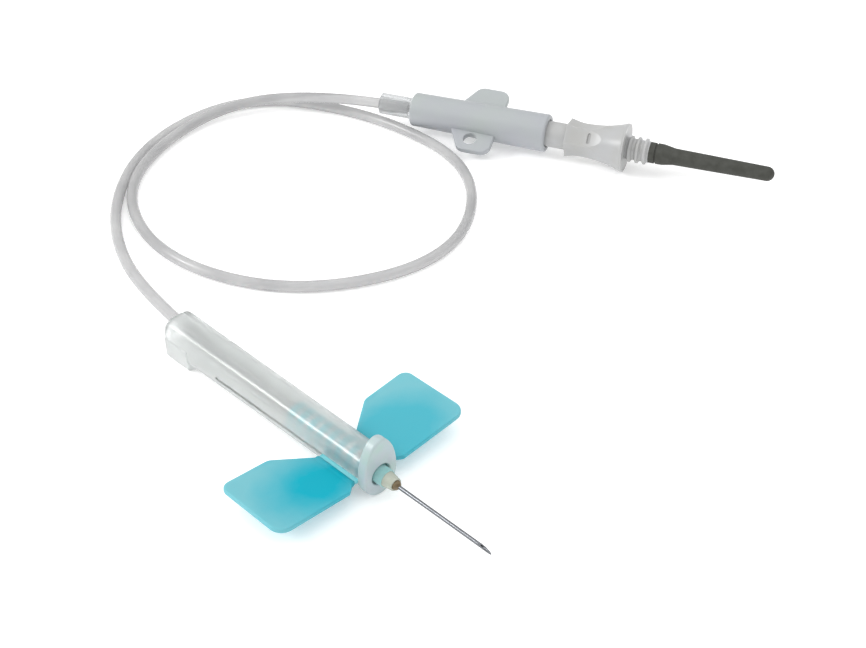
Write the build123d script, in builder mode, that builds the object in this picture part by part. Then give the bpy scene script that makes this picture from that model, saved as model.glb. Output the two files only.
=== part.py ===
from build123d import *
from math import cos, pi, radians, sin, tan
import os

# Winged safety needle set: needle and wings on a hub inside a sliding shield, a free tube,
# and an eared connector with a threaded adapter and a rubber covered rear needle.
# Millimetres. X runs along the needle to its tip, Z is up and the set lies on Z = 0.
# The origin is under the middle of the needle, hub and shield, without the tube.

# Needle and hub, measured back from the needle's exit
needle_diameter = 0.64
needle_bore = 0.34
needle_reach = 19.05
needle_depth = 12.0
needle_bevel_angle = 13.0
bevel_overcut = 0.2
glue_gap = 0.01
bead_radius = 0.85
bead_height = 0.35
bead_seat = 0.45
bead_slope = 0.9
hub_radius = 1.1
hub_rear = 22.3
hub_bore_radius = 0.6
nose_tip_radius = 1.05
nose_radius = 1.35
nose_length = 1.75

# Ribbed wing sleeve on the hub
bond_gap = 0.02
sleeve_radius = 1.6
sleeve_nose_radius = 1.45
sleeve_rear = 22.8
rib_radius = 1.9
rib_width = 1.1
rib_pitch = 2.2
rib_count = 6
root_thickness = 0.4
wing_drop = 0.8

# Wing panels, with their folding lines just outside the shield
hinge_offset = 4.1
hinge_clearance = 0.1
wing_thickness = 0.9
wing_rise_angle = 4.0
wing_front = 4.4
wing_back = 18.3
wing_span = 15.15
wing_root_front = 5.6
wing_root_back = 13.75
wing_kink_back = 18.1
wing_kink_span = 5.9
wing_kink_round = 2.0
wing_shoulder_span = 1.6
wing_front_corner = 2.2
wing_back_corner = 1.6
wing_edge_round = 0.3

# Sliding shield
axis_height = 3.9
shield_rear = 53.0
shield_front = 5.2
shield_width = 6.1
shield_height = 6.8
shield_corner = 2.2
shield_draft = 0.35
shield_wall = 0.7
shield_end_wall = 1.5
shield_travel = 25.5
grip_length = 6.0
grip_height = 4.6
grip_corner = 0.9
grip_step = 0.15
shield_end_round = 0.4
slot_clearance = 0.1
slot_end_gap = 0.4
tube_running_gap = 1.0

# Front collar of the shield
collar_thickness = 1.6
collar_half_width = 3.3
collar_top = 6.7
collar_round = 0.35
collar_hole_gap = 0.2
collar_hole_round = 0.3
lug_width = 2.6
lug_depth = 2.2
lug_thickness = 0.55
lug_gap = 0.05

# Free tube
tube_diameter = 2.1
floor_gap = 0.02
tube_bend_share = 0.45
tube_straight = 10.0

# Connector, adapter and rear needle, measured along their axis from the socket's open end
connector_start = (-65.95, 75.2)
connector_turn = 25.15
ear_roll = 20.0
socket_radius = 2.15
socket_length = 11.5
tube_insertion = 6.0
body_start = 7.0
body_end = 35.6
body_start_radius = 3.4
body_end_radius = 3.8
body_rim_round = 0.5
channel_radius = 0.8
recess_depth = 2.4
recess_gap = 0.25
cone_start = 25.5
cone_tip_radius = 1.95
cone_base_radius = 2.1
cone_gap = 0.02
ear_front = 16.3
ear_back = 25.4
ear_tip_front = 18.9
ear_root_reach = 3.6
ear_reach = 8.2
ear_thickness = 1.2
ear_front_corner = 2.0
ear_back_corner = 2.0
ear_edge_round = 0.25
ear_hole_radius = 1.4
ear_hole_station = 20.8
ear_hole_offset = 5.3
neck_radius = 2.6
adapter_grip_start = 39.7
adapter_grip_end = 51.6
adapter_grip_front_radius = 3.9
adapter_grip_waist_radius = 3.42
adapter_grip_flare_radius = 4.8
adapter_grip_waist_at = 44.6
adapter_grip_rim = 0.5
flat_count = 6
flat_front = 3.42
flat_waist = 3.02
flat_run_out = 49.2
notch_station = 44.4
notch_length = 2.1
notch_width = 0.7
notch_floor = 2.7
notch_turn = 120.0
thread_end = 56.3
thread_root_radius = 2.1
thread_crest_radius = 2.6
thread_pitch = 1.5
thread_ridges = 3
thread_lead_in = 0.6
ridge_foot_width = 1.0
ridge_crest_width = 0.38
adapter_bore_radius = 0.6
nipple_radius = 1.2
nipple_length = 3.0
rear_needle_diameter = 0.72
rear_needle_bore = 0.4
rear_needle_start = 44.0
rear_needle_end = 78.6
rear_bevel_angle = 20.0
rubber_end = 80.7
rubber_base_radius = 2.05
rubber_lip_length = 1.1
rubber_groove_width = 0.35
rubber_groove_depth = 0.2
rubber_base_length = 2.6
rubber_radius = 1.65
rubber_tip_radius = 1.42
rubber_taper_end = 61.2
rubber_bore_gap = 0.35
rubber_tip_wall = 1.2

exit_x = (shield_rear - needle_reach) / 2
wing_z = axis_height - wing_drop
needle_axis = Axis((0, 0, axis_height), (1, 0, 0))
connector_height = adapter_grip_flare_radius + floor_gap
connector_dir = Vector(cos(radians(connector_turn)), sin(radians(connector_turn)), 0)
connector_side = Vector(-connector_dir.Y, connector_dir.X, 0)
connector_origin = Vector(*connector_start, connector_height)
ear_dir = connector_side * cos(radians(ear_roll)) + Vector(0, 0, sin(radians(ear_roll)))
ear_plane = Plane(connector_origin, x_dir=connector_dir, z_dir=connector_dir.cross(ear_dir))
connector_axis = Axis(connector_origin, connector_dir)


def back_from_exit(distance):
    return exit_x - distance


def half_section(points, plane):
    """Closed half profile of a turned piece, from (station, radius) points in a plane."""
    with BuildSketch(plane) as section:
        with BuildLine():
            Polyline(*points, close=True)
        make_face()
    return section.sketch


def needle_point(station, radius, angle):
    """Closed cutting outline of a bevel that rises from the needle's lower edge at its tip."""
    run = 2 * radius / tan(radians(angle))
    lean = bevel_overcut / tan(radians(angle))
    return [
        (station + lean, -radius - bevel_overcut),
        (station - run - lean, radius + bevel_overcut),
        (station + lean, radius + bevel_overcut),
    ]


needle_section = Plane((0, 0, axis_height), x_dir=(1, 0, 0), z_dir=(0, -1, 0))
rear_section = Plane((connector_origin.X, connector_origin.Y, connector_origin.Z),
                     x_dir=connector_dir, z_dir=connector_dir.cross(Vector(0, 0, 1)))

# Steel needle with a ground bevel that faces up
with BuildPart() as needle:
    needle_start = back_from_exit(needle_depth)
    with BuildSketch(Plane.YZ.offset(needle_start)):
        with Locations((0, axis_height)):
            Circle(needle_diameter / 2)
            Circle(needle_bore / 2, mode=Mode.SUBTRACT)
    extrude(amount=needle_depth + needle_reach)
    with BuildSketch(needle_section):
        with BuildLine():
            Polyline(*needle_point(exit_x + needle_reach, needle_diameter / 2, needle_bevel_angle),
                     close=True)
        make_face()
    extrude(amount=needle_diameter, both=True, mode=Mode.SUBTRACT)
needle.part.label = "needle"

# Bead of adhesive round the needle where it leaves the hub
with BuildPart() as needle_bead:
    bead_bore = needle_diameter / 2 + glue_gap
    with BuildSketch(needle_section):
        with BuildLine():
            foot = (back_from_exit(bead_seat), bead_bore)
            rim = (back_from_exit(bead_seat), bead_radius)
            crest = (back_from_exit(-bead_height), bead_bore)
            Line(foot, rim)
            Spline(rim, crest, tangents=[(1, 0), (1, -bead_slope)])
            Line(crest, foot)
        make_face()
    revolve(axis=needle_axis)
needle_bead.part.label = "needle_bead"

# Inner hub: holds the needle in front and meets the tube behind
with BuildPart() as needle_hub:
    sleeve_front = bead_seat + nose_length
    hub_outline = half_section([
        (back_from_exit(hub_rear), 0),
        (back_from_exit(hub_rear), hub_radius),
        (back_from_exit(sleeve_front), hub_radius),
        (back_from_exit(sleeve_front), nose_radius),
        (back_from_exit(bead_seat), nose_tip_radius),
        (back_from_exit(bead_seat), 0),
    ], needle_section)
    revolve(hub_outline, axis=needle_axis)
    with BuildSketch(Plane.YZ.offset(back_from_exit(hub_rear))):
        with Locations((0, axis_height)):
            Circle(hub_bore_radius)
    extrude(amount=hub_rear - needle_depth, mode=Mode.SUBTRACT)
    with BuildSketch(Plane.YZ.offset(back_from_exit(needle_depth))):
        with Locations((0, axis_height)):
            Circle(needle_diameter / 2 + glue_gap)
    extrude(amount=needle_depth, mode=Mode.SUBTRACT)
needle_hub.part.label = "needle_hub"

# Turquoise sleeve moulded on the hub: ribs behind, wing roots at its sides, a nose in front
with BuildPart() as wing_sleeve:
    sleeve_outline = half_section([
        (back_from_exit(sleeve_rear), 0),
        (back_from_exit(sleeve_rear), sleeve_radius),
        (back_from_exit(shield_front), sleeve_radius),
        (back_from_exit(sleeve_front), sleeve_nose_radius),
        (back_from_exit(sleeve_front), 0),
    ], needle_section)
    revolve(sleeve_outline, axis=needle_axis)
    for index in range(rib_count):
        rib_back = back_from_exit(sleeve_rear - index * rib_pitch)
        with BuildSketch(Plane.YZ.offset(rib_back)):
            with Locations((0, axis_height)):
                Circle(rib_radius)
        extrude(amount=rib_width)
    with BuildSketch(Plane.XY.offset(wing_z - root_thickness / 2)):
        with Locations((back_from_exit((wing_root_front + wing_root_back) / 2), 0)):
            Rectangle(wing_root_back - wing_root_front, 2 * hinge_offset)
    extrude(amount=root_thickness)
    with BuildSketch(Plane.YZ.offset(back_from_exit(sleeve_rear))):
        with Locations((hinge_offset, wing_z), (-hinge_offset, wing_z)):
            Circle(wing_thickness / 2 + hinge_clearance)
        with Locations((0, axis_height)):
            Circle(hub_radius + bond_gap)
    extrude(amount=sleeve_rear, mode=Mode.SUBTRACT)
wing_sleeve.part.label = "wing_sleeve"

# Left wing: a thin panel that folds up about its rounded inner edge
with BuildPart() as left_wing:
    wing_plane = Plane((exit_x, hinge_offset, wing_z), x_dir=(-1, 0, 0),
                       z_dir=(0, sin(radians(wing_rise_angle)), -cos(radians(wing_rise_angle))))
    with BuildSketch(wing_plane):
        with BuildLine():
            Polyline(
                (wing_root_back, 0),
                (wing_kink_back, wing_kink_span),
                (wing_back, wing_span),
                (wing_front, wing_span),
                (wing_front, wing_shoulder_span),
                (wing_root_front, 0),
                close=True,
            )
        outline = make_face()
        fillet(outline.vertices().sort_by(Axis.Y)[-2:].sort_by(Axis.X)[0], wing_front_corner)
        back_corner = vertices().sort_by_distance((wing_back, wing_span))[0]
        fillet(back_corner, wing_back_corner)
        kink = vertices().sort_by_distance((wing_kink_back, wing_kink_span))[0]
        fillet(kink, wing_kink_round)
    extrude(amount=wing_thickness / 2, both=True)
    fillet(faces().group_by(SortBy.AREA)[-1].edges().filter_by(
        lambda edge: edge.center().Y > hinge_offset + wing_thickness), wing_edge_round)
    with BuildSketch(Plane.YZ.offset(back_from_exit(wing_root_back))):
        with Locations((hinge_offset, wing_z)):
            Circle(wing_thickness / 2)
    extrude(amount=wing_root_back - wing_root_front)
left_wing.part.label = "left_wing"

# Right wing, the mirror of the left
with BuildPart() as right_wing:
    mirror(left_wing.part, about=Plane.XZ)
right_wing.part.label = "right_wing"

# Translucent shield: a drafted box tube with open side slots and a finger grip behind
with BuildPart() as safety_shield:
    shield_back_x = back_from_exit(shield_rear)
    shield_length = shield_rear - shield_front
    with BuildSketch(Plane.YZ.offset(shield_back_x)):
        with Locations((0, axis_height)):
            RectangleRounded(shield_width, shield_height, shield_corner)
    extrude(amount=shield_length, taper=shield_draft)
    with BuildSketch(Plane.YZ.offset(shield_back_x)):
        with Locations((0, grip_height / 2)):
            RectangleRounded(shield_width + 2 * grip_step, grip_height, grip_corner)
    extrude(amount=grip_length)
    fillet(faces().sort_by(Axis.X)[0].edges(), shield_end_round)
    with BuildSketch(Plane.YZ.offset(shield_back_x + shield_end_wall)):
        with Locations((0, axis_height)):
            RectangleRounded(shield_width - 2 * shield_wall, shield_height - 2 * shield_wall,
                             shield_corner - shield_wall)
    extrude(amount=shield_length, taper=shield_draft, mode=Mode.SUBTRACT)
    with BuildSketch(Plane.YZ.offset(shield_back_x)):
        with Locations((0, axis_height)):
            Circle(tube_diameter / 2 + tube_running_gap)
    extrude(amount=shield_end_wall, mode=Mode.SUBTRACT)
    slot_back = wing_root_back + shield_travel + slot_end_gap
    slot_height = root_thickness + 2 * slot_clearance
    with BuildSketch(Plane.XZ):
        with Locations((back_from_exit(slot_back / 2 - slot_height / 4), wing_z)):
            Rectangle(slot_back - slot_height / 2, slot_height)
        with Locations((back_from_exit(slot_back - slot_height / 2), wing_z)):
            Circle(slot_height / 2)
    extrude(amount=shield_width, both=True, mode=Mode.SUBTRACT)
safety_shield.part.label = "safety_shield"

# Egg shaped front collar that closes the slots, with two lugs inside the shield
with BuildPart() as shield_collar:
    collar_back_x = back_from_exit(shield_front)
    with BuildSketch(Plane.YZ.offset(collar_back_x)):
        with BuildLine():
            EllipticalCenterArc((0, axis_height), collar_half_width, collar_top, 0, arc_size=180)
            EllipticalCenterArc((0, axis_height), collar_half_width, axis_height, 180, arc_size=180)
        make_face()
    extrude(amount=collar_thickness)
    fillet(faces().sort_by(Axis.X)[-1].edges(), collar_round)
    front_shrink = 2 * (shield_rear - shield_front) * tan(radians(shield_draft))
    lug_inset = 2 * (shield_wall + lug_gap) + front_shrink
    lug_corner = shield_corner - shield_wall - lug_gap
    with BuildSketch(Plane.YZ.offset(collar_back_x)):
        with Locations((0, axis_height)):
            RectangleRounded(shield_width - lug_inset, shield_height - lug_inset, lug_corner)
            Rectangle(shield_width, shield_height - lug_inset - 2 * lug_thickness, mode=Mode.SUBTRACT)
            Rectangle(lug_width, shield_height, mode=Mode.INTERSECT)
    extrude(amount=-lug_depth)
    with BuildSketch(Plane.YZ.offset(collar_back_x)):
        with Locations((0, axis_height)):
            Circle(sleeve_radius + collar_hole_gap)
    extrude(amount=collar_thickness, mode=Mode.SUBTRACT)
    hole_rim = edges().filter_by(GeomType.CIRCLE).sort_by(Axis.X)[-1]
    fillet(hole_rim, collar_hole_round)
shield_collar.part.label = "shield_collar"

# Free tube, from the hub's rear face round its loop to the connector's socket
tube_end = connector_origin + connector_dir * tube_insertion
tube_approach = connector_origin - connector_dir * tube_straight
tube_floor = tube_diameter / 2 + floor_gap
tube_points = [
    Vector(back_from_exit(hub_rear), 0, axis_height),
    Vector(-44.0, 0, axis_height),
    Vector(-76.9, 12.9, tube_floor),
    Vector(-93.8, 33.6, tube_floor),
    Vector(-93.3, 62.7, tube_floor),
    Vector(-66.8, 76.0, tube_floor),
    Vector(-37.8, 75.2, tube_floor),
    Vector(-20.0, 50.4, tube_floor),
    Vector(-32.6, 22.1, tube_floor),
    Vector(-59.9, 11.7, tube_floor),
    Vector(-86.2, 23.3, tube_floor),
    Vector(-95.0, 55.2, tube_floor),
    tube_approach,
    tube_end,
]
tube_radii = []
for before, corner, after in zip(tube_points, tube_points[1:], tube_points[2:]):
    shorter = min((corner - before).length, (after - corner).length)
    turn = (corner - before).get_angle(after - corner)
    tube_radii.append(tube_bend_share * shorter / tan(radians(turn / 2)))
print("tube bend radii", [round(radius, 1) for radius in tube_radii])
with BuildPart() as tubing:
    with BuildLine() as tube_path:
        FilletPolyline(*tube_points, radius=tube_radii)
    with BuildSketch(Plane(tube_points[0], z_dir=tube_points[1] - tube_points[0])):
        Circle(tube_diameter / 2)
    sweep(path=tube_path.line)
tubing.part.label = "tubing"
tube_length = sum(edge.length for edge in tube_path.edges())
section_area = pi * tube_diameter ** 2 / 4
print("tube length", round(tube_length, 1), "volume ratio",
      round(tubing.part.volume / (section_area * tube_length), 4))


def along_connector(station):
    return Plane(connector_origin + connector_dir * station, x_dir=connector_side, z_dir=connector_dir)


# Clear socket that joins the tube to the connector
with BuildPart() as tube_socket:
    with BuildSketch(along_connector(0)):
        Circle(socket_radius)
        Circle(tube_diameter / 2 + bond_gap, mode=Mode.SUBTRACT)
    extrude(amount=tube_insertion)
    with BuildSketch(along_connector(tube_insertion)):
        Circle(socket_radius)
        Circle(channel_radius, mode=Mode.SUBTRACT)
    extrude(amount=socket_length - tube_insertion)
tube_socket.part.label = "tube_socket"

# White connector body with two ears, one of them pierced
with BuildPart() as eared_connector:
    body_outline = half_section([
        (body_start, 0),
        (body_start, body_start_radius),
        (body_end, body_end_radius),
        (body_end, 0),
    ], rear_section)
    revolve(body_outline, axis=connector_axis)
    fillet(edges().filter_by(GeomType.CIRCLE), body_rim_round)
    with BuildPart(mode=Mode.PRIVATE) as ear_plate:
        with BuildSketch(ear_plane):
            with BuildLine():
                Polyline(
                    (ear_front, 0),
                    (ear_front, ear_root_reach),
                    (ear_tip_front, ear_reach),
                    (ear_back, ear_reach),
                    (ear_back, 0),
                    close=True,
                )
            make_face()
            fillet(vertices().sort_by_distance((ear_back, ear_reach))[0], ear_back_corner)
            fillet(vertices().sort_by_distance((ear_tip_front, ear_reach))[0], ear_front_corner)
            mirror(about=Plane.XZ)
        extrude(amount=ear_thickness / 2, both=True)
        fillet(faces().group_by(SortBy.AREA)[-1].edges(), ear_edge_round)
    add(ear_plate.part)
    with BuildSketch(ear_plane):
        with Locations((ear_hole_station, -ear_hole_offset)):
            Circle(ear_hole_radius)
    extrude(amount=ear_thickness, both=True, mode=Mode.SUBTRACT)
    bore_outline = half_section([
        (body_start, 0),
        (body_start, socket_radius + bond_gap),
        (socket_length, socket_radius + bond_gap),
        (socket_length, channel_radius),
        (cone_start, channel_radius),
        (cone_start, cone_tip_radius + cone_gap),
        (body_end - recess_depth, cone_base_radius + cone_gap),
        (body_end - recess_depth, neck_radius + recess_gap),
        (body_end, neck_radius + recess_gap),
        (body_end, 0),
    ], rear_section)
    revolve(bore_outline, axis=connector_axis, mode=Mode.SUBTRACT)
eared_connector.part.label = "eared_connector"

# Threaded adapter: cone, neck, waisted grip with six hollow flats, thread and nipple
with BuildPart() as threaded_adapter:
    cone_front = cone_start + cone_gap
    neck_start = body_end - recess_depth + cone_gap
    grip_rim_start = (adapter_grip_end - adapter_grip_rim, adapter_grip_flare_radius)
    with BuildSketch(rear_section):
        with BuildLine():
            Polyline(
                (adapter_grip_start, adapter_grip_front_radius),
                (adapter_grip_start, neck_radius),
                (neck_start, neck_radius),
                (neck_start, cone_base_radius),
                (cone_front, cone_tip_radius),
                (cone_front, 0),
                (thread_end + nipple_length, 0),
                (thread_end + nipple_length, nipple_radius),
                (thread_end, nipple_radius),
                (thread_end, thread_root_radius),
                (adapter_grip_end, thread_root_radius),
                (adapter_grip_end, adapter_grip_flare_radius),
            )
            Line((adapter_grip_end, adapter_grip_flare_radius), grip_rim_start)
            Spline(
                grip_rim_start,
                (adapter_grip_waist_at, adapter_grip_waist_radius),
                (adapter_grip_start, adapter_grip_front_radius),
            )
        make_face()
    revolve(axis=connector_axis)
    for index in range(flat_count):
        flat_facing = ear_dir.rotate(Axis((0, 0, 0), connector_dir), index * 360 / flat_count)
        with BuildSketch(Plane(connector_origin, x_dir=connector_dir,
                               z_dir=connector_dir.cross(flat_facing))):
            with BuildLine():
                flat_curve = Spline(
                    (adapter_grip_start, flat_front),
                    (adapter_grip_waist_at, flat_waist),
                    (flat_run_out, adapter_grip_flare_radius),
                )
                Polyline(flat_curve @ 1, (adapter_grip_start, adapter_grip_flare_radius), flat_curve @ 0)
            make_face()
        extrude(amount=adapter_grip_flare_radius, both=True, mode=Mode.SUBTRACT)
    notch_facing = ear_dir.rotate(Axis((0, 0, 0), connector_dir), notch_turn)
    with BuildSketch(Plane(connector_origin + connector_dir * notch_station + notch_facing * notch_floor,
                           x_dir=connector_dir.cross(notch_facing), z_dir=notch_facing)):
        SlotOverall(notch_length, notch_width)
    extrude(amount=adapter_grip_flare_radius, mode=Mode.SUBTRACT)
    for index in range(thread_ridges):
        ridge_centre = adapter_grip_end + (index + thread_lead_in) * thread_pitch
        ridge_outline = half_section([
            (ridge_centre - ridge_foot_width / 2, thread_root_radius / 2),
            (ridge_centre - ridge_foot_width / 2, thread_root_radius),
            (ridge_centre - ridge_crest_width / 2, thread_crest_radius),
            (ridge_centre + ridge_crest_width / 2, thread_crest_radius),
            (ridge_centre + ridge_foot_width / 2, thread_root_radius),
            (ridge_centre + ridge_foot_width / 2, thread_root_radius / 2),
        ], rear_section)
        revolve(ridge_outline, axis=connector_axis)
    with BuildSketch(along_connector(cone_start)):
        Circle(adapter_bore_radius)
    extrude(amount=rear_needle_start - cone_start, mode=Mode.SUBTRACT)
    with BuildSketch(along_connector(rear_needle_start)):
        Circle(rear_needle_diameter / 2 + glue_gap)
    extrude(amount=rubber_end - rear_needle_start, mode=Mode.SUBTRACT)
threaded_adapter.part.label = "threaded_adapter"

# Rear needle inside the rubber sleeve
with BuildPart() as rear_needle:
    with BuildSketch(along_connector(rear_needle_start)):
        Circle(rear_needle_diameter / 2)
        Circle(rear_needle_bore / 2, mode=Mode.SUBTRACT)
    extrude(amount=rear_needle_end - rear_needle_start)
    with BuildSketch(rear_section):
        with BuildLine():
            Polyline(*needle_point(rear_needle_end, rear_needle_diameter / 2, rear_bevel_angle),
                     close=True)
        make_face()
    extrude(amount=rear_needle_diameter, both=True, mode=Mode.SUBTRACT)
rear_needle.part.label = "rear_needle"

# Rubber sleeve, closed at its tip and pushed over the adapter's nipple
with BuildPart() as rubber_sleeve:
    inner_radius = rear_needle_diameter / 2 + rubber_bore_gap
    groove_start = thread_end + rubber_lip_length
    dome_start = (rubber_end - rubber_tip_radius, rubber_tip_radius)
    with BuildSketch(rear_section):
        with BuildLine():
            Polyline(
                (rubber_end, 0),
                (rubber_end - rubber_tip_wall, 0),
                (rubber_end - rubber_tip_wall, inner_radius),
                (thread_end + nipple_length, inner_radius),
                (thread_end + nipple_length, nipple_radius + bond_gap),
                (thread_end, nipple_radius + bond_gap),
                (thread_end, rubber_base_radius),
                (groove_start, rubber_base_radius),
                (groove_start, rubber_base_radius - rubber_groove_depth),
                (groove_start + rubber_groove_width, rubber_base_radius - rubber_groove_depth),
                (groove_start + rubber_groove_width, rubber_base_radius),
                (thread_end + rubber_base_length, rubber_base_radius),
                (rubber_taper_end, rubber_radius),
                dome_start,
            )
            RadiusArc(dome_start, (rubber_end, 0), rubber_tip_radius)
        make_face()
    revolve(axis=connector_axis)
rubber_sleeve.part.label = "rubber_sleeve"

os.makedirs("parts", exist_ok=True)
pieces = [
    needle, needle_bead, needle_hub, wing_sleeve, left_wing, right_wing, safety_shield,
    shield_collar, tubing, tube_socket, eared_connector, threaded_adapter, rear_needle,
    rubber_sleeve,
]
for piece in pieces:
    export_step(piece.part, f"parts/{piece.part.label}.step")
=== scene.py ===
import math

import bpy
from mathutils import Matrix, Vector


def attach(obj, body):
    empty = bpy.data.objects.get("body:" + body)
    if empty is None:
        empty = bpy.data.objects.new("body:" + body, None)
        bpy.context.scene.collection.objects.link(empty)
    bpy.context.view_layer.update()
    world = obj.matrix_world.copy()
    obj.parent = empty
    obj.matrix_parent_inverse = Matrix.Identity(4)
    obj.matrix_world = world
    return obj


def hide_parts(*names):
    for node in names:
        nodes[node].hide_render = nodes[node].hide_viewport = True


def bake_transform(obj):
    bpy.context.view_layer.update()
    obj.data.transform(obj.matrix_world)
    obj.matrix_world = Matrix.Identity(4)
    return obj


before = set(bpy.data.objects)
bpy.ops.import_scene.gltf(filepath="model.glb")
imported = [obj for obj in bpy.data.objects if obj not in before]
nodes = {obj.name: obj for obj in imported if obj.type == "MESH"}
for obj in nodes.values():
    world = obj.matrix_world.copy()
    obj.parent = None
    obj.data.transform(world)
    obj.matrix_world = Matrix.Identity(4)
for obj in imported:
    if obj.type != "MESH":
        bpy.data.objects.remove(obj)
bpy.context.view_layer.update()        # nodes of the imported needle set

print("stage: frame loaded")

# The camera stands where a pinhole fitted to the photo puts it, in metres and degrees
cameraPlace = {
    "location": (0.13668, -0.11199, 0.1625),
    "heading": 135.096,     # turned from +X towards +Y
    "pitch": 38.0,          # looking down
    "lens": 63.52,
    "sensor": 36.0,
    "nearest": 0.01,
    "farthest": 10,
}


def addCamera(settings):
    turn = (math.radians(90 - settings["pitch"]), 0, math.radians(settings["heading"] - 90))
    bpy.ops.object.camera_add(location=settings["location"], rotation=turn)
    camera = bpy.context.object
    camera.name = "photoCamera"
    camera.data.lens = settings["lens"]
    camera.data.sensor_width = settings["sensor"]
    camera.data.clip_start = settings["nearest"]
    camera.data.clip_end = settings["farthest"]
    bpy.context.scene.camera = camera


addCamera(cameraPlace)
print("stage: camera placed")

# The free tube, end to end as the photo shows it, with the points that the part's source has. Those of
# the left bend are moved by up to 3 mm, so that the two strands lie side by side there as in the photo.
tubeCord = {
    "diameter": 0.0021,
    "length": 0.3662,
    "stepsAlong": 24,           # from one point to the next
    "stepsRound": 7,            # in a quarter of the section
    "height": 0.00107,          # of its middle where it lies on the table
    "leaningHeight": 0.0014,    # where the second strand leans on the first
    "risingHeight": 0.0016,
    "needleHeight": 0.0039,
    "connectorHeight": 0.00482,
    "points": [
        (-0.005325, 0.0, "needleHeight"),
        (-0.044, 0.0, "needleHeight"),
        (-0.0756, 0.0126, "height"),
        (-0.0940, 0.0352, "height"),
        (-0.0933, 0.0627, "height"),
        (-0.0668, 0.0760, "height"),
        (-0.0378, 0.0752, "height"),
        (-0.0200, 0.0504, "height"),
        (-0.0326, 0.0221, "height"),
        (-0.0599, 0.0117, "height"),
        (-0.0855, 0.0233, "leaningHeight"),
        (-0.0942, 0.0538, "risingHeight"),
        (-0.0772, 0.0697, "connectorHeight"),
        (-0.060519, 0.077750, "connectorHeight"),
    ],
    "pieces": ["tube_socket", "eared_connector", "threaded_adapter", "rear_needle", "rubber_sleeve"],
}


def addTube(settings):
    curve = bpy.data.curves.new("clearTube", "CURVE")
    curve.dimensions = "3D"
    spline = curve.splines.new("NURBS")
    spline.points.add(len(settings["points"]) - 1)
    for point, (x, y, level) in zip(spline.points, settings["points"]):
        point.co = (x, y, settings[level], 1)
        point.radius = settings["diameter"] / 2     # scales the bevel, which is one metre
    spline.order_u = 3
    spline.use_endpoint_u = True
    curve.resolution_u = settings["stepsAlong"]
    curve.bevel_depth = 1.0
    curve.bevel_resolution = settings["stepsRound"]
    curve.use_fill_caps = True
    tube = bpy.data.objects.new("clearTube", curve)
    bpy.context.collection.objects.link(tube)
    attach(tube, "hub_and_tube")
    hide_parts("tubing")
    return tube


clearTube = addTube(tubeCord)
print("stage: tube laid")


def toLinear(hexColour):
    channels = [int(hexColour[place:place + 2], 16) / 255 for place in (1, 3, 5)]
    return [value / 12.92 if value <= 0.04045 else ((value + 0.055) / 1.055) ** 2.4
            for value in channels] + [1.0]


def addNode(material, kind, settings, links=None):
    node = material.node_tree.nodes.new(kind)
    for name, value in settings.items():
        if isinstance(name, int) or name in node.inputs:
            node.inputs[name].default_value = value
        else:
            setattr(node, name, value)
    for name, (source, output) in (links or {}).items():
        material.node_tree.links.new(source.outputs[output], node.inputs[name])
    return node


def startMaterial(name):
    material = bpy.data.materials.new(name)
    material.use_nodes = True
    material.node_tree.nodes.clear()
    return material, addNode(material, "ShaderNodeTexCoord", {})


def finishMaterial(material, surface):
    addNode(material, "ShaderNodeOutputMaterial", {}, {"Surface": (surface, 0)})
    return material


# Moulded and extruded plastics share one build: a cloudy colour from two tones, a fine skin bump
# and a roughness that wanders a little, over a body that lets some light through.
plasticSkin = {
    "cloudFrom": 0.35,          # of the noise, where the second tone sets in
    "cloudTo": 0.65,
    "cloudDetail": 3.0,
    "grainDetail": 2.0,
    "grainHeight": 0.00002,     # metres
    "glossDrift": 0.03,         # of the roughness, either way
    "scatterReach": 0.001,      # metres
    "coatRoughness": 0.1,
}


def makePlastic(settings):
    material, place = startMaterial(settings["name"])
    cloud = addNode(material, "ShaderNodeTexNoise",
                    {"Scale": 1000 / settings["cloudMm"], "Detail": plasticSkin["cloudDetail"]},
                    {"Vector": (place, "Object")})
    spread = addNode(material, "ShaderNodeMapRange",
                     {"From Min": plasticSkin["cloudFrom"], "From Max": plasticSkin["cloudTo"]},
                     {"Value": (cloud, 0)})
    colour = addNode(material, "ShaderNodeMix",
                     {"data_type": "RGBA", 6: toLinear(settings["colour"]), 7: toLinear(settings["tone"])},
                     {0: (spread, 0)})
    grain = addNode(material, "ShaderNodeTexNoise",
                    {"Scale": 1000 / settings["grainMm"], "Detail": plasticSkin["grainDetail"]},
                    {"Vector": (place, "Object")})
    skin = addNode(material, "ShaderNodeBump",
                   {"Strength": settings["grainStrength"], "Distance": plasticSkin["grainHeight"]},
                   {"Height": (grain, 0)})
    gloss = addNode(material, "ShaderNodeMapRange",
                    {"To Min": settings["roughness"] - plasticSkin["glossDrift"],
                     "To Max": settings["roughness"] + plasticSkin["glossDrift"]},
                    {"Value": (cloud, 0)})
    body = addNode(material, "ShaderNodeBsdfPrincipled",
                   {"IOR": settings["ior"], "Transmission Weight": settings["clear"],
                    "Subsurface Weight": settings["depth"],
                    "Subsurface Scale": plasticSkin["scatterReach"], "Subsurface Radius": (1.0, 1.0, 1.0),
                    "Coat Weight": settings.get("coat", 0.0),
                    "Coat Roughness": plasticSkin["coatRoughness"]},
                   {"Base Color": (colour, 2), "Roughness": (gloss, 0), "Normal": (skin, 0)})
    return finishMaterial(material, body)


def dress(material, names):
    for name in names:
        slots = nodes[name].data.materials
        slots.clear()
        slots.append(material)


# Clear plasticised vinyl, extruded: a soft grey see-through body with long glossy streaks
tubeVinyl = makePlastic({"name": "tubeVinyl", "colour": "#cfcfcf", "tone": "#bfbfc0", "cloudMm": 9.0,
                         "grainMm": 0.8, "grainStrength": 0.05, "roughness": 0.22, "ior": 1.4,
                         "clear": 0.5, "depth": 0.0})
clearTube.data.materials.append(tubeVinyl)

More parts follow.
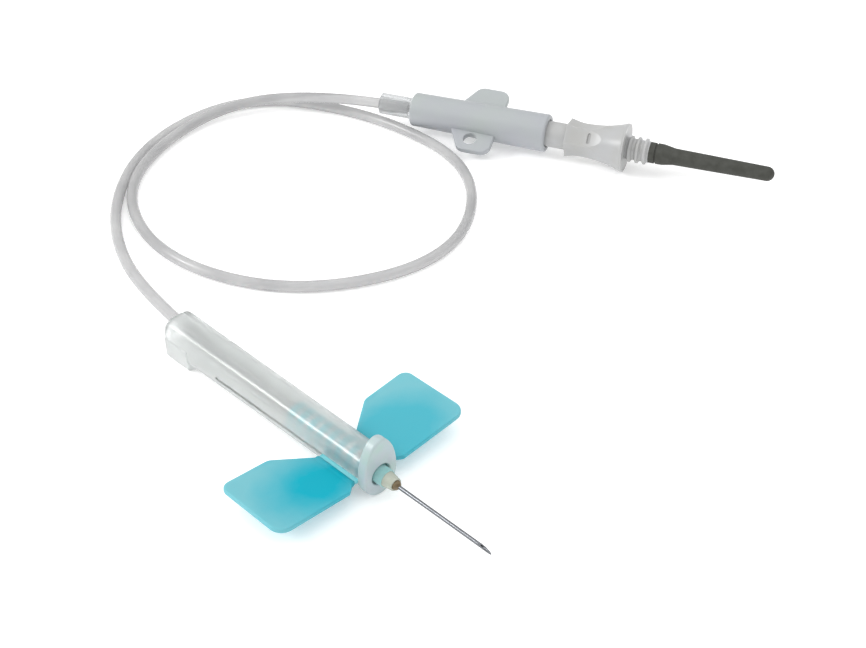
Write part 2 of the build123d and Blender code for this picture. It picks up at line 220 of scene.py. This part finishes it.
# Natural polypropylene, moulded: milky and frosted, so that the turquoise ribs only glow through it
shieldPolypropylene = makePlastic({"name": "shieldPolypropylene", "colour": "#f2f5f4", "tone": "#ecefee",
                                   "cloudMm": 5.0, "grainMm": 0.5, "grainStrength": 0.1,
                                   "roughness": 0.32, "ior": 1.4, "clear": 0.84, "depth": 0.0, "coat": 0.3})
dress(shieldPolypropylene, ["safety_shield"])

# The same resin in the thicker collar: whiter, with a soft shine
collarPolypropylene = makePlastic({"name": "collarPolypropylene", "colour": "#c7d3d9", "tone": "#bcd4cf",
                                   "cloudMm": 2.5, "grainMm": 0.5, "grainStrength": 0.06,
                                   "roughness": 0.34, "ior": 1.49, "clear": 0.3, "depth": 0.0})
dress(collarPolypropylene, ["shield_collar"])

# Clear rigid acrylic: the brightest gloss of the set, darker only at its edges
socketAcrylic = makePlastic({"name": "socketAcrylic", "colour": "#e6e7e8", "tone": "#dcdfe0",
                             "cloudMm": 4.0, "grainMm": 1.0, "grainStrength": 0.05,
                             "roughness": 0.12, "ior": 1.49, "clear": 0.8, "depth": 0.0})
dress(socketAcrylic, ["tube_socket"])

# White ABS, moulded with a fine satin skin: even and slightly cool
# Its colour is a mid grey, well below white ABS's own: painted shade, so that it stays darker than the
# bright table
connectorAbs = makePlastic({"name": "connectorAbs", "colour": "#a2a8a7", "tone": "#a0a2a8",
                            "cloudMm": 12.0, "grainMm": 0.25, "grainStrength": 0.2,
                            "roughness": 0.38, "ior": 1.53, "clear": 0.0, "depth": 0.15})
dress(connectorAbs, ["eared_connector"])

# White polypropylene, moulded: lighter and waxier than the connector
# Its colour too is a grey well below white polypropylene's own: painted shade
adapterPolypropylene = makePlastic({"name": "adapterPolypropylene", "colour": "#acadae", "tone": "#a8a8a6",
                                    "cloudMm": 6.0, "grainMm": 0.3, "grainStrength": 0.15,
                                    "roughness": 0.34, "ior": 1.49, "clear": 0.0, "depth": 0.25})
dress(adapterPolypropylene, ["threaded_adapter"])

# Hub of clear styrene acrylic, seen as a tan grey nose
hubStyrene = makePlastic({"name": "hubStyrene", "colour": "#c9cec0", "tone": "#bcc2b2", "cloudMm": 1.5,
                          "grainMm": 0.5, "grainStrength": 0.1, "roughness": 0.25, "ior": 1.56,
                          "clear": 0.3, "depth": 0.0})
dress(hubStyrene, ["needle_hub"])

# Cured amber adhesive: a small glossy brown bead
needleAdhesive = makePlastic({"name": "needleAdhesive", "colour": "#7d6c4c", "tone": "#635236",
                              "cloudMm": 0.6, "grainMm": 0.4, "grainStrength": 0.1,
                              "roughness": 0.18, "ior": 1.52, "clear": 0.2, "depth": 0.0})
dress(needleAdhesive, ["needle_bead"])

# Synthetic rubber, dipped and powdered: dark, dull and faintly mottled
sleeveRubber = makePlastic({"name": "sleeveRubber", "colour": "#3e3f3a", "tone": "#34352f", "cloudMm": 1.6,
                            "grainMm": 0.3, "grainStrength": 0.5, "roughness": 0.68, "ior": 1.5,
                            "clear": 0.0, "depth": 0.0})
dress(sleeveRubber, ["rubber_sleeve"])

# Turquoise vinyl, moulded round the hub: deep where it is thick, paler and mottled towards the tips
wingVinylLook = {
    "name": "wingVinyl",
    "deep": "#00a5b9",
    "pale": "#74b8c2",
    "centre": (0.008, 0.0075, 0.0),     # of the thick deep area in each wing, metres
    "weights": (1.4, 1.0, 0.0),         # the fade is quicker towards the back edge
    "deepTo": 0.0035,
    "paleFrom": 0.0125,
    "leftPaintedLight": 0.4,                    # painted light: the left wing is painted a tone paler throughout
    "mottleMm": 3.5,
    "drift": 0.004,
}
# The same vinyl in the thin sleeve: pale between its ribs and at its nose, with painted light: its deep and
# between tones are lit up past the vinyl's own, so that it glows through the shield's shade
sleeveVinylLook = {
    "name": "sleeveVinyl",
    "deep": "#2ccbd9",
    "between": "#f4ffff",
    "root": "#84d6e0",
    "pale": "#9ccbca",
    "centre": (0.0, 0.0, 0.0),
    "weights": (1.0, 0.0, 0.0),
    "deepTo": 0.0112,
    "paleFrom": 0.0122,
    "leftPaintedLight": 0.0,
    "mottleMm": 2.0,
    "drift": 0.001,
    "ribPitch": 0.0022,     # as the sleeve's ribs stand
    "ribStart": -0.005825,  # the rear edge of the last rib
    "ribReach": 0.0021,     # from the needle's line, beyond which lie the plain wing roots
}
# What the two share: a satin moulded skin over a body that glows a little where light passes
vinylSkin = {
    "mottleDetail": 4.0,
    "leftPaintedLightBy": 0.004,    # from the needle's line, metres
    "ribTo": 0.45,          # of a pitch, between which and the next the colour changes
    "gapFrom": 0.6,
    "grainMm": 0.5,
    "grainDetail": 2.0,
    "grainStrength": 0.25,
    "grainHeight": 0.00002,
    "glossFrom": 0.3,
    "glossTo": 0.45,
    "ior": 1.53,
    "shine": 0.1,
    "clear": 0.1,
    "depth": 0.4,
    "scatterReach": 0.001,
    "scatterColour": (0.5, 1.0, 1.0),
}


def addRibColours(material, settings, axes, mirrored):
    along = addNode(material, "ShaderNodeMath", {"operation": "SUBTRACT", 1: settings["ribStart"]},
                    {0: (axes, "X")})
    turn = addNode(material, "ShaderNodeMath", {"operation": "DIVIDE", 1: settings["ribPitch"]},
                   {0: (along, 0)})
    fraction = addNode(material, "ShaderNodeMath", {"operation": "FRACT"}, {0: (turn, 0)})
    gap = addNode(material, "ShaderNodeMapRange",
                  {"From Min": vinylSkin["ribTo"], "From Max": vinylSkin["gapFrom"]},
                  {"Value": (fraction, 0)})
    # Painted light: deep on the ribs and near white between them, brighter than the vinyl itself
    ribbed = addNode(material, "ShaderNodeMix",
                     {"data_type": "RGBA", 6: toLinear(settings["deep"]), 7: toLinear(settings["between"])},
                     {0: (gap, 0)})
    sides = addNode(material, "ShaderNodeSeparateXYZ", {}, {"Vector": (mirrored, 0)})
    outside = addNode(material, "ShaderNodeMath", {"operation": "GREATER_THAN", 1: settings["ribReach"]},
                      {0: (sides, "Y")})
    return addNode(material, "ShaderNodeMix", {"data_type": "RGBA", 7: toLinear(settings["root"])},
                   {0: (outside, 0), 6: (ribbed, 2)})


def makeWingVinyl(settings):
    material, place = startMaterial(settings["name"])
    mirrored = addNode(material, "ShaderNodeVectorMath", {"operation": "ABSOLUTE"}, {0: (place, "Object")})
    aside = addNode(material, "ShaderNodeVectorMath", {"operation": "SUBTRACT", 1: settings["centre"]},
                    {0: (mirrored, 0)})
    weighed = addNode(material, "ShaderNodeVectorMath", {"operation": "MULTIPLY", 1: settings["weights"]},
                      {0: (aside, 0)})
    reach = addNode(material, "ShaderNodeVectorMath", {"operation": "LENGTH"}, {0: (weighed, 0)})
    mottle = addNode(material, "ShaderNodeTexNoise",
                     {"Scale": 1000 / settings["mottleMm"], "Detail": vinylSkin["mottleDetail"]},
                     {"Vector": (place, "Object")})
    drift = addNode(material, "ShaderNodeMath",
                    {"operation": "MULTIPLY_ADD", 1: settings["drift"], 2: -settings["drift"] / 2},
                    {0: (mottle, 0)})
    faded = addNode(material, "ShaderNodeMath", {"operation": "ADD"}, {0: (reach, "Value"), 1: (drift, 0)})
    fade = addNode(material, "ShaderNodeMapRange",
                   {"From Min": settings["deepTo"], "From Max": settings["paleFrom"]}, {"Value": (faded, 0)})
    axes = addNode(material, "ShaderNodeSeparateXYZ", {}, {"Vector": (place, "Object")})
    # Painted light: beyond the needle's line the left wing is lightened towards the pale tone
    left = addNode(material, "ShaderNodeMapRange",
                   {"From Min": 0.0, "From Max": vinylSkin["leftPaintedLightBy"], "To Max": settings["leftPaintedLight"]},
                   {"Value": (axes, "Y")})
    tone = addNode(material, "ShaderNodeMath", {"operation": "MAXIMUM"}, {0: (fade, 0), 1: (left, 0)})
    colour = addNode(material, "ShaderNodeMix",
                     {"data_type": "RGBA", 6: toLinear(settings["deep"]), 7: toLinear(settings["pale"])},
                     {0: (tone, 0)})
    if "ribPitch" in settings:
        rooted = addRibColours(material, settings, axes, mirrored)
        material.node_tree.links.new(rooted.outputs[2], colour.inputs[6])
    grain = addNode(material, "ShaderNodeTexNoise",
                    {"Scale": 1000 / vinylSkin["grainMm"], "Detail": vinylSkin["grainDetail"]},
                    {"Vector": (place, "Object")})
    skin = addNode(material, "ShaderNodeBump",
                   {"Strength": vinylSkin["grainStrength"], "Distance": vinylSkin["grainHeight"]},
                   {"Height": (grain, 0)})
    gloss = addNode(material, "ShaderNodeMapRange",
                    {"To Min": vinylSkin["glossFrom"], "To Max": vinylSkin["glossTo"]},
                    {"Value": (mottle, 0)})
    body = addNode(material, "ShaderNodeBsdfPrincipled",
                   {"IOR": vinylSkin["ior"], "Specular IOR Level": vinylSkin["shine"],
                    "Transmission Weight": vinylSkin["clear"], "Subsurface Weight": vinylSkin["depth"],
                    "Subsurface Scale": vinylSkin["scatterReach"],
                    "Subsurface Radius": vinylSkin["scatterColour"]},
                   {"Base Color": (colour, 2), "Roughness": (gloss, 0), "Normal": (skin, 0)})
    return finishMaterial(material, body)


wingVinyl = makeWingVinyl(wingVinylLook)
dress(wingVinyl, ["left_wing", "right_wing"])
dress(makeWingVinyl(sleeveVinylLook), ["wing_sleeve"])

# Stainless steel tube, drawn and then polished: bright, with fine lines along its length. Its colour is a
# dark grey, well below polished steel's own: painted shade
needleSteelLook = {
    "colour": "#727478",
    "lineMm": 0.05,
    "lineStretch": (0.02, 1.0, 1.0),    # fifty times as long as wide
    "lineDetail": 2.0,
    "lineStrength": 0.2,
    "lineHeight": 0.000005,
    "glossFrom": 0.12,
    "glossTo": 0.32,
}


def makeNeedleSteel(settings):
    material, place = startMaterial("needleSteel")
    stretch = addNode(material, "ShaderNodeMapping", {"Scale": settings["lineStretch"]},
                      {"Vector": (place, "Object")})
    lines = addNode(material, "ShaderNodeTexNoise",
                    {"Scale": 1000 / settings["lineMm"], "Detail": settings["lineDetail"]},
                    {"Vector": (stretch, 0)})
    gloss = addNode(material, "ShaderNodeMapRange",
                    {"To Min": settings["glossFrom"], "To Max": settings["glossTo"]}, {"Value": (lines, 0)})
    drawn = addNode(material, "ShaderNodeBump",
                    {"Strength": settings["lineStrength"], "Distance": settings["lineHeight"]},
                    {"Height": (lines, 0)})
    body = addNode(material, "ShaderNodeBsdfPrincipled",
                   {"Base Color": toLinear(settings["colour"]), "Metallic": 1.0},
                   {"Roughness": (gloss, 0), "Normal": (drawn, 0)})
    return finishMaterial(material, body)


dress(makeNeedleSteel(needleSteelLook), ["needle", "rear_needle"])
print("stage: finishes on")

# The soft web of vinyl over each wing's folding line: it swells from the thin root to the panel and
# rises with the panel beyond the folding line. Half thicknesses are given at distances from the needle's
# line, in metres.
wingWeb = {
    "from": 0.0033,
    "to": 0.0113,
    "middle": 0.0031,
    "profile": [(0.0034, 0.00014), (0.00352, 0.00024), (0.00366, 0.00036), (0.00384, 0.00045),
                (0.0041, 0.00049), (0.00432, 0.00049), (0.0046, 0.00046), (0.0049, 0.0004)],
    "rise": 0.07,       # of the panel beyond the folding line
    "fold": 0.0041,
    "near": 0.00001,    # a row of points is picked by its distance, to within this
    "smooth": 50,       # degrees, below which an edge is shaded round
}


def addWingWeb(name, side, settings):
    profile = settings["profile"]
    start, end = profile[0][0], profile[-1][0]
    bpy.ops.object.select_all(action="DESELECT")
    bpy.ops.mesh.primitive_cube_add(size=1, location=(0, 0, 0))
    web = bpy.context.object
    web.name = name
    web.scale = (settings["to"] - settings["from"], end - start, 2 * profile[0][1])
    web.location = ((settings["from"] + settings["to"]) / 2, side * (start + end) / 2, settings["middle"])
    bpy.ops.object.transform_apply(location=True, rotation=True, scale=True)
    bpy.ops.object.mode_set(mode="EDIT")
    for reach, _ in profile[1:-1]:
        bpy.ops.mesh.select_all(action="SELECT")
        bpy.ops.mesh.bisect(plane_co=(0, side * reach, 0), plane_no=(0, 1, 0))
    bpy.ops.object.mode_set(mode="OBJECT")
    for reach, half in profile:
        lift = settings["rise"] * max(0, reach - settings["fold"])
        bpy.ops.object.mode_set(mode="EDIT")
        bpy.ops.mesh.select_mode(type="VERT")
        bpy.ops.mesh.select_all(action="DESELECT")
        bpy.ops.object.mode_set(mode="OBJECT")
        for vertex in web.data.vertices:
            vertex.select = abs(abs(vertex.co.y) - reach) < settings["near"]
        bpy.ops.object.mode_set(mode="EDIT")
        bpy.ops.transform.resize(value=(1, 1, half / profile[0][1]))
        bpy.ops.transform.translate(value=(0, 0, lift))
    bpy.ops.mesh.select_all(action="SELECT")
    bpy.ops.mesh.normals_make_consistent(inside=False)
    bpy.ops.object.mode_set(mode="OBJECT")
    bpy.ops.object.shade_smooth_by_angle(angle=math.radians(settings["smooth"]))
    web.data.materials.append(wingVinyl)
    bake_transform(web)


addWingWeb("leftWeb", 1, wingWeb)
addWingWeb("rightWeb", -1, wingWeb)
print("stage: webs over the folding lines")

# Plain white table and soft light from a large box overhead and a narrower one at the left
studio = {
    "tableColour": "#f2f2f2",
    "tableGlow": 0.28,          # a light table, so that it stays paler than the white plastics
    "tableSize": 3.0,
    "tableRoughness": 0.9,
    "tableShine": 0.1,
    "fibreMm": 2.5,
    "fibreDetail": 2.0,
    "fibreStrength": 0.03,
    "fibreHeight": 0.0001,
    "worldStrength": 0.8,
    "overhead": {"location": (0.03, 0.08, 0.9), "size": 1.6, "energy": 5.6},
    "leftBox": {"location": (-0.42, -0.46, 0.44), "size": 0.22, "energy": 2.4},
    "aim": (-0.02, 0.04, 0.0),
}


def addTable(settings):
    bpy.ops.mesh.primitive_plane_add(size=settings["tableSize"], location=(0, 0, 0))
    table = bpy.context.object
    table.name = "whiteTable"
    material, place = startMaterial("tablePaper")
    fibre = addNode(material, "ShaderNodeTexNoise",
                    {"Scale": 1000 / settings["fibreMm"], "Detail": settings["fibreDetail"]},
                    {"Vector": (place, "Object")})
    skin = addNode(material, "ShaderNodeBump",
                   {"Strength": settings["fibreStrength"], "Distance": settings["fibreHeight"]},
                   {"Height": (fibre, 0)})
    body = addNode(material, "ShaderNodeBsdfPrincipled",
                   {"Base Color": toLinear(settings["tableColour"]), "Roughness": settings["tableRoughness"],
                    "Specular IOR Level": settings["tableShine"], "Emission Color": (1.0, 1.0, 1.0, 1.0),
                    "Emission Strength": settings["tableGlow"]}, {"Normal": (skin, 0)})
    table.data.materials.append(finishMaterial(material, body))


def addSoftbox(name, box, aim):
    bpy.ops.object.light_add(type="AREA", location=box["location"])
    light = bpy.context.object
    light.name = name
    light.data.size = box["size"]
    light.data.energy = box["energy"]
    light.rotation_euler = (Vector(aim) - Vector(box["location"])).to_track_quat("-Z", "Y").to_euler()


def addWorld(settings):
    world = bpy.data.worlds.new("studioAir")
    world.use_nodes = True
    world.node_tree.nodes["Background"].inputs["Color"].default_value = (1.0, 1.0, 1.0, 1.0)
    world.node_tree.nodes["Background"].inputs["Strength"].default_value = settings["worldStrength"]
    bpy.context.scene.world = world
    bpy.context.scene.view_settings.view_transform = "Standard"


addTable(studio)
addSoftbox("overheadBox", studio["overhead"], studio["aim"])
addSoftbox("leftBox", studio["leftBox"], studio["aim"])
addWorld(studio)
print("stage: studio lit")
